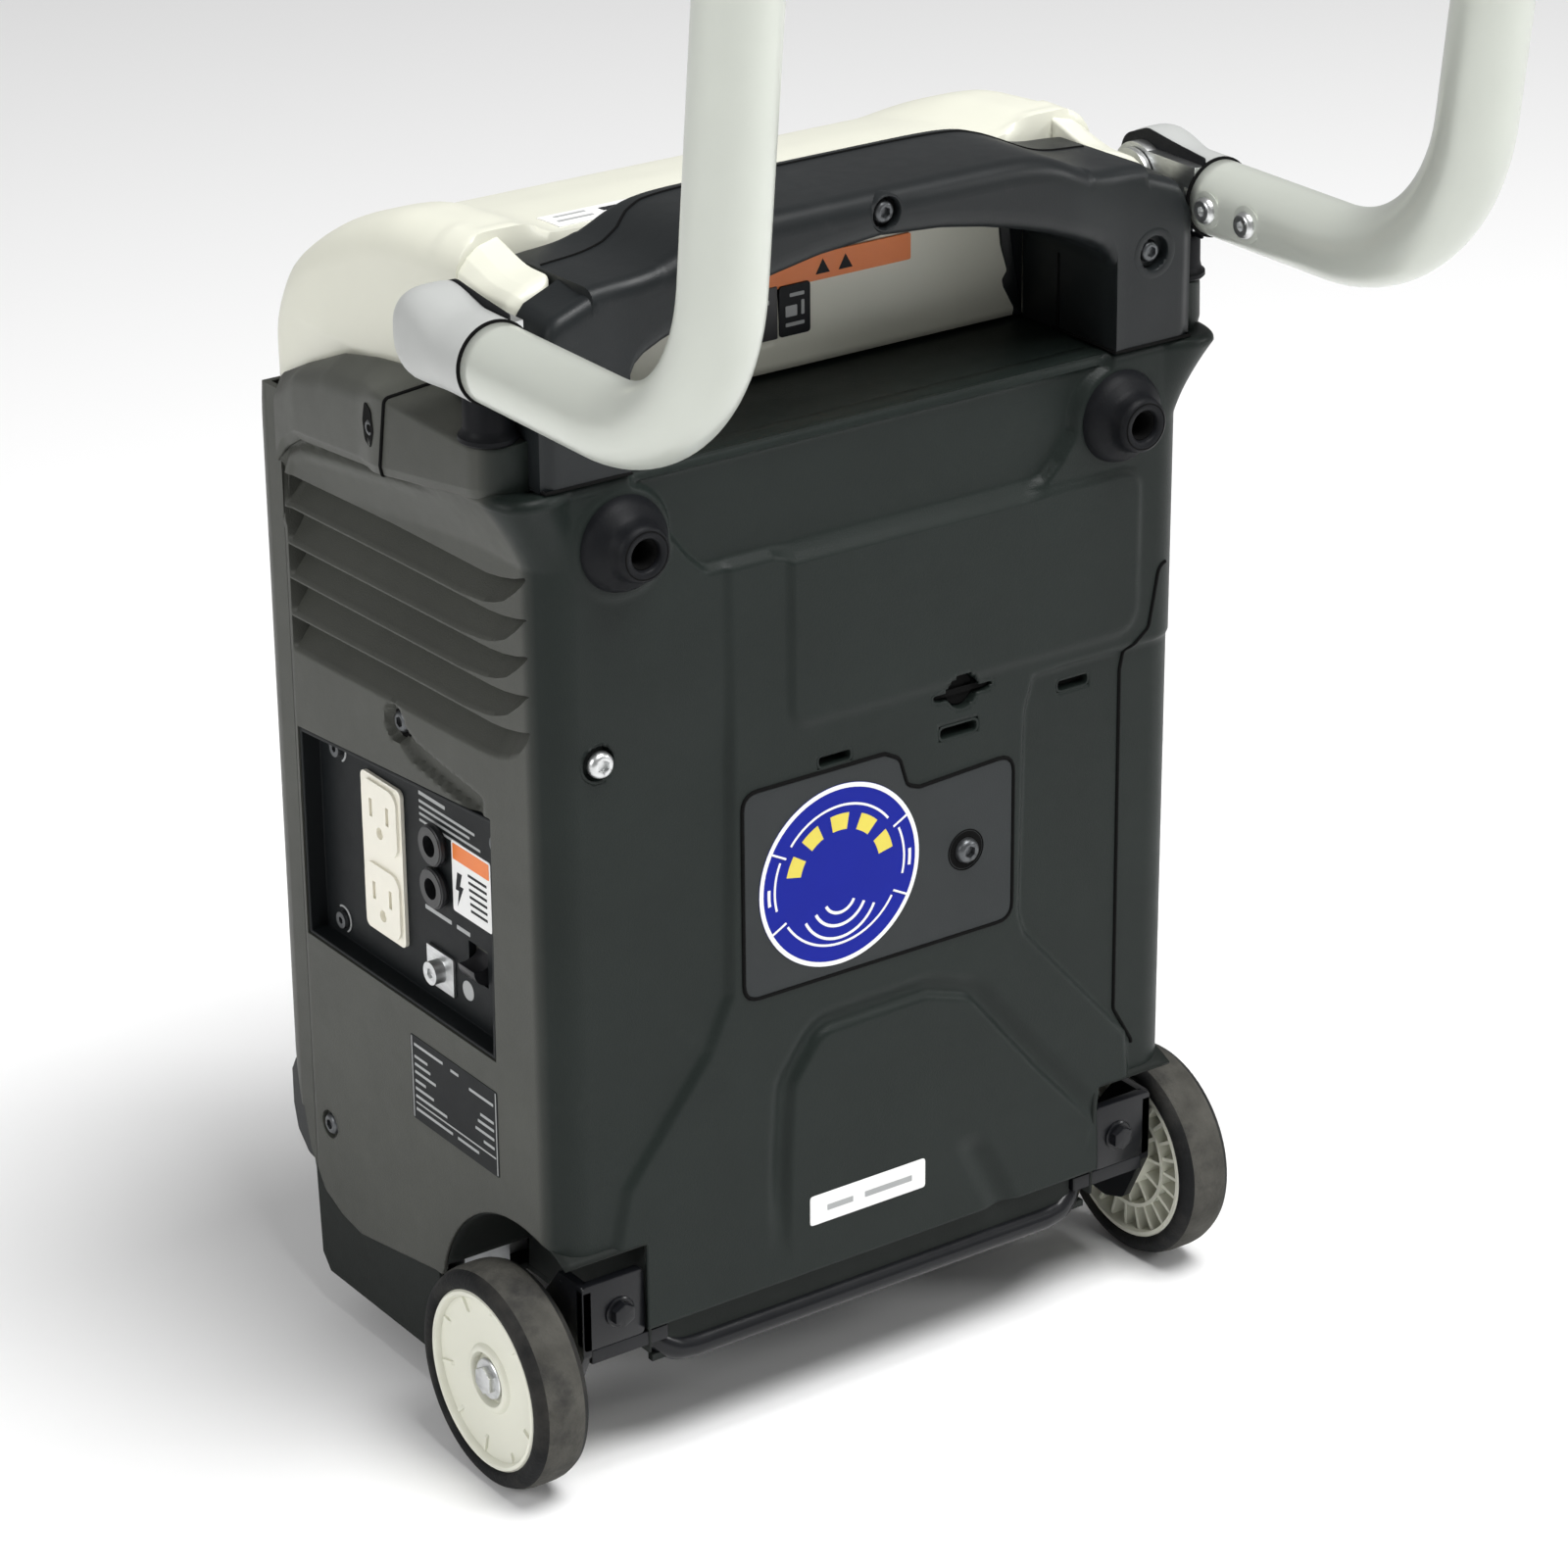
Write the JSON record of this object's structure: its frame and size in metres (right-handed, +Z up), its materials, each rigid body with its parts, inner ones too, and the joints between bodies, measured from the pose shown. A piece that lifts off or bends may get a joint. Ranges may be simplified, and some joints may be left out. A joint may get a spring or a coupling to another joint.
{
  "type": "inverter generator",
  "caption": "Suitcase-shaped inverter generator with a carry handle, a can-bay lid, an outlet panel, rear wheels and a fold-over pull handle.",
  "frame": {"origin": "centre of the bounding box on the floor plane under the feet and tyres", "axes": "+Z up, +X towards the outlet side, +Y towards the rear, the wheel side"},
  "size_m": [0.3728, 0.4312, 0.8461],
  "materials": {
    "case_plastic": "fine moulded grain, dark grey with a green tint",
    "base_plastic": "fine moulded grain, darker than the case",
    "cream_plastic": "satin off-white moulded plastic",
    "handle_black": "satin black moulded plastic",
    "silver_paint": "satin silver paint on steel tube",
    "collar_grey": "smooth light grey plastic",
    "black_paint": "glossy black paint",
    "zinc_steel": "zinc plated steel",
    "black_rubber": "matte black rubber",
    "tyre_rubber": "worn, dusty rubber",
    "panel_black": "fine grained black plastic",
    "outlet_ivory": "ivory thermoset plastic",
    "switch_black": "glossy black plastic",
    "cast_alloy": "as-cast alloy",
    "copper_coils": "varnished copper windings",
    "hot_steel": "heat-stained steel",
    "engine_black": "satin black paint",
    "can_paint": "plain orange-red lacquer",
    "lever_orange": "orange moulded plastic",
    "white_ceramic": "white glazed ceramic",
    "rope_fibre": "braided nylon cord",
    "cap_yellow": "yellow moulded plastic",
    "switch_red": "red moulded plastic"
  },
  "bodies": {
    "body": {"rear_shell": "case_plastic", "front_shell": "case_plastic", "side_cover": "case_plastic", "base_tray": "base_plastic", "shoulder_blocks": "case_plastic", "shoulder_trims": "case_plastic", "arm_stops": "black_rubber", "grip_lower_shell": "handle_black", "grip_upper_shell": "handle_black", "case_screws": "zinc_steel", "rear_bumpers": "black_rubber", "maintenance_door": "case_plastic", "control_panel": "panel_black", "duplex_outlet": "outlet_ivory", "parallel_sockets": "switch_black", "ground_terminal": "zinc_steel", "panel_screws": "zinc_steel", "axle_frame": "black_paint", "frame_bolts": "zinc_steel", "front_feet": "black_rubber", "handle_catches": "handle_black", "lid_hinge_pins": "zinc_steel", "pivot_bolts": "zinc_steel", "can_cradle": "zinc_steel", "gas_cans": "can_paint", "gas_regulator": "cast_alloy", "gas_hose": "black_rubber", "crankcase": "cast_alloy", "spark_plug": "white_ceramic", "muffler": "hot_steel", "alternator_stator": "copper_coils", "recoil_housing": "engine_black", "mixer": "cast_alloy", "air_cleaner": "panel_black", "inverter_unit": "cast_alloy", "engine_mounts": "black_rubber"},
    "wheel_right": {"hub_right": "cream_plastic", "tyre_right": "tyre_rubber"},
    "wheel_left": {"hub_left": "cream_plastic", "tyre_left": "tyre_rubber"},
    "lid": {"lid": "cream_plastic"},
    "lid_release": {"lid_release": "handle_black"},
    "pull_handle": {"handle_tube": "silver_paint", "arm_brackets": "zinc_steel", "arm_collars": "collar_grey", "arm_screws": "zinc_steel", "grip_sleeve": "black_rubber"},
    "breaker": {"breaker_rocker": "switch_black"},
    "engine_switch": {"engine_switch": "switch_red"},
    "can_lever": {"can_lever": "lever_orange"},
    "crank": {"crankshaft": "zinc_steel", "alternator_rotor": "engine_black", "cooling_fan": "engine_black"},
    "piston": {"piston": "cast_alloy", "connecting_rod": "zinc_steel"},
    "recoil_pulley": {"recoil_pulley": "white_ceramic"},
    "starter": {"starter_grip": "handle_black", "starter_rope": "rope_fibre"},
    "oil_cap": {"oil_cap": "cap_yellow"}
  },
  "joints": [
    {"name": "handle_fold", "type": "hinge", "parent": "body", "child": "pull_handle", "pos_m": [0, -0.01658, 0.486], "axis": [1, 0, 0], "range_deg": [0, 183]},
    {"name": "lid_open", "type": "hinge", "parent": "body", "child": "lid", "pos_m": [0, -0.18608, 0.42], "axis": [1, 0, 0], "range_deg": [0, 80]},
    {"name": "lid_release_push", "type": "slide", "parent": "lid", "child": "lid_release", "axis": [0, -1, 0], "range_m": [0, 0.002], "stiffness_N_per_m": 600},
    {"name": "right_wheel_spin", "type": "hinge", "parent": "body", "child": "wheel_right", "pos_m": [0.165, -0.00558, 0.047], "axis": [1, 0, 0], "continuous": true},
    {"name": "left_wheel_spin", "type": "hinge", "parent": "body", "child": "wheel_left", "pos_m": [-0.165, -0.00558, 0.047], "axis": [1, 0, 0], "continuous": true},
    {"name": "breaker_tilt", "type": "hinge", "parent": "body", "child": "breaker", "pos_m": [0.145, -0.04608, 0.2085], "axis": [0, 1, 0], "range_deg": [0, 20]},
    {"name": "engine_switch_turn", "type": "hinge", "parent": "body", "child": "engine_switch", "pos_m": [0.1, -0.19758, 0.33], "axis": [0, 1, 0], "range_deg": [0, 90]},
    {"name": "can_lever_turn", "type": "hinge", "parent": "body", "child": "can_lever", "pos_m": [-0.122, -0.10758, 0.412], "axis": [1, 0, 0], "range_deg": [0, 40]},
    {"name": "crank_spin", "type": "hinge", "parent": "body", "child": "crank", "pos_m": [-0.02, -0.09558, 0.2], "axis": [0, 0, 1], "continuous": true},
    {"name": "piston_slide", "type": "slide", "parent": "body", "child": "piston", "axis": [1, 0, 0], "range_m": [0, 0.036]},
    {"name": "starter_pull", "type": "slide", "parent": "body", "child": "starter", "axis": [0, -1, 0], "range_m": [0, 0.5], "stiffness_N_per_m": 15, "springref_m": -0.2},
    {"name": "pulley_spin", "type": "hinge", "parent": "body", "child": "recoil_pulley", "pos_m": [-0.02, -0.09558, 0.265], "axis": [0, 0, 1], "range_deg": [0, 856]},
    {"name": "oil_cap_turn", "type": "hinge", "parent": "body", "child": "oil_cap", "pos_m": [0.01, -0.05558, 0.13], "axis": [0, 1, 0], "continuous": true}
  ],
  "couplings": [
    {"joint": "pulley_spin", "follows": "starter_pull", "rad_per_m": 29.851}
  ]
}
